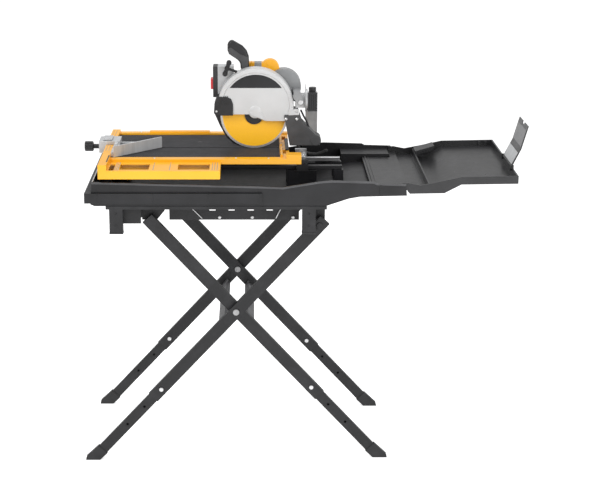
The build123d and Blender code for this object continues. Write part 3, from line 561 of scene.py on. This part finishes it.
# ribs run along the deck, with a groove on both sides of each
deck = {"ribPitch": 9.0, "ribGap": 2.6, "groove": 2.2, "seam": 0.006, "lip": 0.001, "root": 0.8,
        "crest": 0.6}
low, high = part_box("cart_deck")
for name, near, far in (("near_deck", low.y, -deck["seam"]), ("far_deck", deck["seam"], high.y)):
    count = int((far - near) / mm / deck["ribPitch"])
    pitch = (far - near) / count
    half = pitch / 2 - deck["ribGap"] * mm / 2
    bottom = high.z - deck["groove"] * mm
    outline = [(far, low.z), (near, low.z)]
    for i in range(count):
        middle = near + pitch * (i + 0.5)
        outline += [(middle - pitch / 2, bottom if i else high.z - deck["lip"]),
                    (middle - half * deck["root"], bottom), (middle - half * deck["crest"], high.z),
                    (middle + half * deck["crest"], high.z), (middle + half * deck["root"], bottom)]
    outline.append((far, high.z - deck["lip"]))
    work = bmesh.new()
    addPlate(work, outline, low.x, high.x, "X")
    piece(work, name, "cart", deckRubber, ("cart_deck",) if name == "near_deck" else ())

for place in ("front", "rear"):
    for end in ("left", "right"):
        soften(f"roller_{place}_{end}", 0.0015, black)
softenAll([("guide_bracket", 0.002, paleSheet, 2), ("guide_plate", 0.0008, paleSheet, 2),
           ("guide_knob", 0.002, black, 2)])

gripStrips = {"places": (-434, -428, -422, -297, -238, -85, -76, -67), "width": 2.2, "y": (-335, -214),
              "z": (1149.6, 1150.7)}
sheets("grip_strips", ribs(**gripStrips), "cart", stainlessTrim, 0.0003)
scaleStrips = {"places": (-485, -474), "width": 1.4, "y": (-120, 250), "z": (1171.6, 1172.6)}
sheets("scale_strips", ribs(**scaleStrips), "cart", stainlessTrim, 0.0003)
barSlot = span((-467, -462.5), (-300, -190), (1171.2, 1172.4))
sheets("bar_slot", [barSlot], "cart", black, 0.0004)
endStop = [span((165, 173), y, (1158, 1168)) for y in ((-165, -12), (12, 228))]
sheets("end_stop", endStop, "cart", yellow, 0.0015)
stopSlots = {"x": (164.4, 173.6), "places": (-140, -70, 40, 120), "width": 26, "z": (1160, 1166)}
sheets("stop_slots", bars(**stopSlots), "cart", black, 0.0005)
endBlock = span((184, 197), (-60, 130), (1159.5, 1166))
sheets("end_block", [endBlock], "cart", black, 0.002)
deckMark = span((-149, -135), (92, 104), (1156.5, 1158.5))
sheets("deck_mark", [deckMark], "cart", black, 0.0004)

cartScrew = {"far": ((-470, -380, 60, 150), 255, 1164), "near": ((-300, 0, 120), -187, 1160),
             "size": (4.5, 2)}
cartSpots = [(x, y, z) for places, y, z in (cartScrew["far"], cartScrew["near"]) for x in places]
screws("cart_screws", cartSpots, upwards, cartScrew["size"], "cart")

flutes = {"count": 12, "centre": (-0.5615, 0.030, 1.157), "ring": 0.0166, "radius": 0.0028, "length": 0.029,
          "sides": 12}
work = bmesh.new()
for i in range(flutes["count"]):
    turn = math.tau * i / flutes["count"]
    spot = Vector(flutes["centre"]) + Vector((0, math.cos(turn), math.sin(turn))) * flutes["ring"]
    addRod(work, spot, "Y", flutes["radius"], flutes["length"], flutes["sides"])
piece(work, "guide_knob_flutes", "guide_clamp", black)
guideWing = {"arm": span((-505, -470), (-4, 60), (1187, 1193)),
             "lug": span((-458, -445), (-60, -20), (1178, 1186))}
sheets("guide_wing", guideWing.values(), "guide", paleSheet, 0.002)
print("cart done")

# the head
softenAll([("blade_guard", 0.0025, guardSilver, 3), ("front_bumper", 0.004, rubber, 3),
           ("rubber_skirt", 0.005, skirtRubber, 3), ("handle", 0.009, black, 4),
           ("switch_box", 0.0018, switchBody, 3), ("switch_paddle", 0.002, redPlastic, 2),
           ("lock_knob", 0.003, black, 3), ("head_casting", 0.003, castGrey, 2),
           ("motor_housing", 0.003, yellow, 2), ("splash_plate", 0.0008, black, 2),
           ("bevel_yoke", 0.002, yokeGrey, 2), ("lift_pin", 0.001, zinc, 2), ("bevel_knob", 0.002, black, 2),
           ("blade", 0.0003, bladePaint, 2), ("blade_flanges", 0.001, darkSteel, 2),
           ("arbor_nut", 0.001, darkSteel, 2), ("blade_spindle", 0.001, zinc, 2),
           ("ball_bearings", 0.001, zinc, 2), ("drive_belt", 0.0006, rubber, 2),
           ("motor_rotor", 0.001, darkSteel, 2)])

guard = {"centre": (0.073, 1.322), "radius": 0.142, "face": -0.026}
guardX, guardZ = guard["centre"]

# a raised band round the upper part of the guard
guardRim = {"inset": 0.001, "width": 0.017, "height": 0.0035, "outerSlope": 0.001, "innerSlope": 0.002,
            "steps": 72, "turn": 214.0, "start": -23.0}
outer = guard["radius"] - guardRim["inset"]
inner = guard["radius"] - guardRim["width"]
rise = guardRim["height"]
rimProfile = [(0, outer), (rise, outer - guardRim["outerSlope"]), (rise, inner + guardRim["innerSlope"]),
              (0, inner), (0, outer)]
work = bmesh.new()
addTurned(work, rimProfile, (guardX, guard["face"], guardZ), toFront,
          guardRim["steps"], guardRim["turn"], guardRim["start"])
bmesh.ops.holes_fill(work, edges=work.edges, sides=8)
piece(work, "guard_rim", "head", guardSilver)

label = {"radius": 0.119, "chord": 1.391, "thick": 0.0009, "count": 40}
half = math.degrees(math.asin((label["chord"] - guardZ) / label["radius"]))
labelArc = arc(guard["centre"], label["radius"], half, 180 - half, label["count"])
work = bmesh.new()
addPlate(work, labelArc, guard["face"] - label["thick"], guard["face"])
piece(work, "guard_label", "head", black)

dome = {"x": 0.071, "z": 1.3, "steps": 40,
        "profile": [(0, 0.024), (0.0016, 0.021), (0.003, 0.015), (0.0038, 0.008), (0.004, 0)]}
work = bmesh.new()
addTurned(work, dome["profile"], (dome["x"], guard["face"], dome["z"]), toFront, dome["steps"])
piece(work, "guard_dome", "head", guardSilver)
cone = {"thick": 0.004, "edge": 0.0022,
        "outline": [(0.049, 1.300), (0.0935, 1.300), (0.112, 1.2665), (0.106, 1.2685), (0.054, 1.2895)]}
plate("guard_cone", cone["outline"], guard["face"] - cone["thick"], guard["face"], "head", guardSilver,
      "guard_silver", cone["edge"])

skirtBracket = {"side": span((196, 236), (-31, -26.5), (1286, 1311)),
                "top": span((214, 233), (-29, 29), (1296, 1312))}
sheets("skirt_bracket", skirtBracket.values(), "head", guardSilver, 0.002)
headScrews = {"skirt_screws": ([(187, -32, 1274), (227, -32, 1274)], (5.5, 3)),
              "bracket_screw": ([(226, -31, 1303)], (4, 2.5)),
              "bumper_screw": ([(-74, -32, 1303)], (4.5, 3))}
for name, (spots, size) in headScrews.items():
    screws(name, spots, toFront, size, "head")
bumperRibs = {"places": (-66, -58, -50, -42, -34), "width": 3, "y": (-33, 33), "z": (1330, 1360)}
sheets("bumper_ribs", ribs(**bumperRibs), "head", rubber, 0.001)
motorVents = {"places": (70, 75, 80, 85, 90), "width": 3, "y": (60.8, 96), "z": (1448, 1473)}
ventPlate = span((68, 95), (61.4, 95.4), (1447, 1472.6))
sheets("motor_vents", ribs(**motorVents) + [ventPlate], "head", castGrey, 0.0008)
motorBands = {"places": (54, 104, 116), "width": 4, "y": (60.8, 96), "z": (1440, 1474)}
sheets("motor_bands", ribs(**motorBands), "head", yellow, 0.0015)

pumpCable = {"radius": 3.5, "sides": 12,
             "route": [(243, -10, 1303), (252, -8, 1284), (264, -6, 1262), (272, -4, 1240)]}
work = bmesh.new()
cableRoute = [Vector(spot) * mm for spot in pumpCable["route"]]
addTube(work, cableRoute, pumpCable["radius"] * mm, pumpCable["sides"])
piece(work, "pump_cable", "head", rubber)

# a thin rod with a thicker foot
depthRod = {"x": 0.260, "y": -0.004, "foot": 1.352, "nutTop": 1.366, "top": 1.401,
            "rod": (0.0016, 10), "nut": (0.006, 8)}
rodFoot = (depthRod["x"], depthRod["y"], depthRod["foot"])
work = bmesh.new()
for topZ, (radius, sides) in ((depthRod["top"], depthRod["rod"]), (depthRod["nutTop"], depthRod["nut"])):
    addTube(work, [rodFoot, (depthRod["x"], depthRod["y"], topZ)], radius, sides)
piece(work, "depth_rod", "yoke", zinc)

# three round lobes in a row across the end of the lock knob
lockLobes = {"centre": (0.014, 0, 1.443), "outward": (-0.9397, 0, 0.342), "reach": 0.0515,
             "across": (0.342, 0, 0.9397), "spread": 0.0215, "radius": 0.0098, "length": 0.020, "sides": 20,
             "edge": 0.0015}
work = bmesh.new()
lobeMiddle = Vector(lockLobes["centre"]) + Vector(lockLobes["outward"]) * lockLobes["reach"]
for out in (-1, 0, 1):
    spot = lobeMiddle + Vector(lockLobes["across"]) * lockLobes["spread"] * out
    addRod(work, spot, "X", lockLobes["radius"], lockLobes["length"], lockLobes["sides"])
bevelEdges(work, lockLobes["edge"])
piece(work, "lock_lobes", "plunge_lock", black)

handleGrip = {"y": (0.0242, 0.027), "edge": 0.001,
              "outline": [(-0.029, 1.512), (-0.029, 1.530), (-0.020, 1.534), (0.010, 1.512), (0.044, 1.497),
                          (0.045, 1.456), (0.020, 1.456), (0.019, 1.479), (0.004, 1.492)]}
plate("handle_grip", handleGrip["outline"], *handleGrip["y"], "head", gripGrey, "black_moulding",
      handleGrip["edge"])
skirtRoll = {"start": (0.299, -0.034, 1.192), "length": 0.068, "radius": 0.020, "chamfer": 0.002, "steps": 36}
length, radius, cut = skirtRoll["length"], skirtRoll["radius"], skirtRoll["chamfer"]
rollProfile = [(0, 0), (0, radius - cut), (cut, radius), (length - cut, radius), (length, radius - cut),
               (length, 0)]
work = bmesh.new()
addTurned(work, rollProfile, skirtRoll["start"], (0, 1, 0), skirtRoll["steps"])
piece(work, "skirt_roll", "head", skirtRubber)
print("head done")

# what is left of the CAD keeps its own mesh
for node in nodes.values():
    if not node.hide_render and not node.data.materials:
        node.data.materials.append(black)

# floor and light
floorSizes = {"half": 90, "colour": 0.97, "roughness": 0.9, "glow": 0.55}
work = bmesh.new()
bmesh.ops.create_grid(work, x_segments=1, y_segments=1, size=floorSizes["half"])
floorMesh = bpy.data.meshes.new("floor")
work.to_mesh(floorMesh)
work.free()
floor = bpy.data.objects.new("floor", floorMesh)
bpy.context.scene.collection.objects.link(floor)
pale = bpy.data.materials.new("pale_floor")
pale.use_nodes = True
paleInputs = pale.node_tree.nodes["Principled BSDF"].inputs
paleInputs["Base Color"].default_value = (*[floorSizes["colour"]] * 3, 1)
paleInputs["Roughness"].default_value = floorSizes["roughness"]
paleInputs["Emission Color"].default_value = (1, 1, 1, 1)
paleInputs["Emission Strength"].default_value = floorSizes["glow"]
floorMesh.materials.append(pale)

worldStrength = 0.55
world = bpy.data.worlds.new("studio")
bpy.context.scene.world = world
world.use_nodes = True
world.node_tree.nodes["Background"].inputs["Color"].default_value = (1, 1, 1, 1)
world.node_tree.nodes["Background"].inputs["Strength"].default_value = worldStrength

# each lamp's place, its width in metres and its power in watts
lampTarget = (0.25, 0, 0.9)
lamps = {"key": ((-2.4, -3.2, 4.2), 2.6, 115),
         "fill": ((2.4, -3.4, 2.2), 2.6, 60),
         "top": ((0.4, 1.2, 4.4), 3.0, 75)}
for name, (spot, size, power) in lamps.items():
    data = bpy.data.lights.new(name, "AREA")
    data.size = size
    data.energy = power
    lamp = bpy.data.objects.new(name, data)
    lamp.location = spot
    aim = Vector(lampTarget) - Vector(spot)
    lamp.rotation_euler = aim.to_track_quat("-Z", "Y").to_euler()
    bpy.context.scene.collection.objects.link(lamp)

cameraSizes = {"lens": 88.72, "sensor": 36, "shift": 0.0769, "place": (0.0659, -5.4866, 2.3847),
               "tilt": 73.434}
cameraData = bpy.data.cameras.new("camera")
cameraData.lens = cameraSizes["lens"]
cameraData.sensor_width = cameraSizes["sensor"]
cameraData.shift_x = cameraSizes["shift"]
camera = bpy.data.objects.new("camera", cameraData)
camera.location = cameraSizes["place"]
camera.rotation_euler = (math.radians(cameraSizes["tilt"]), 0, 0)
bpy.context.scene.collection.objects.link(camera)
bpy.context.scene.camera = camera
bpy.context.scene.view_settings.view_transform = "Standard"
print("stage done")
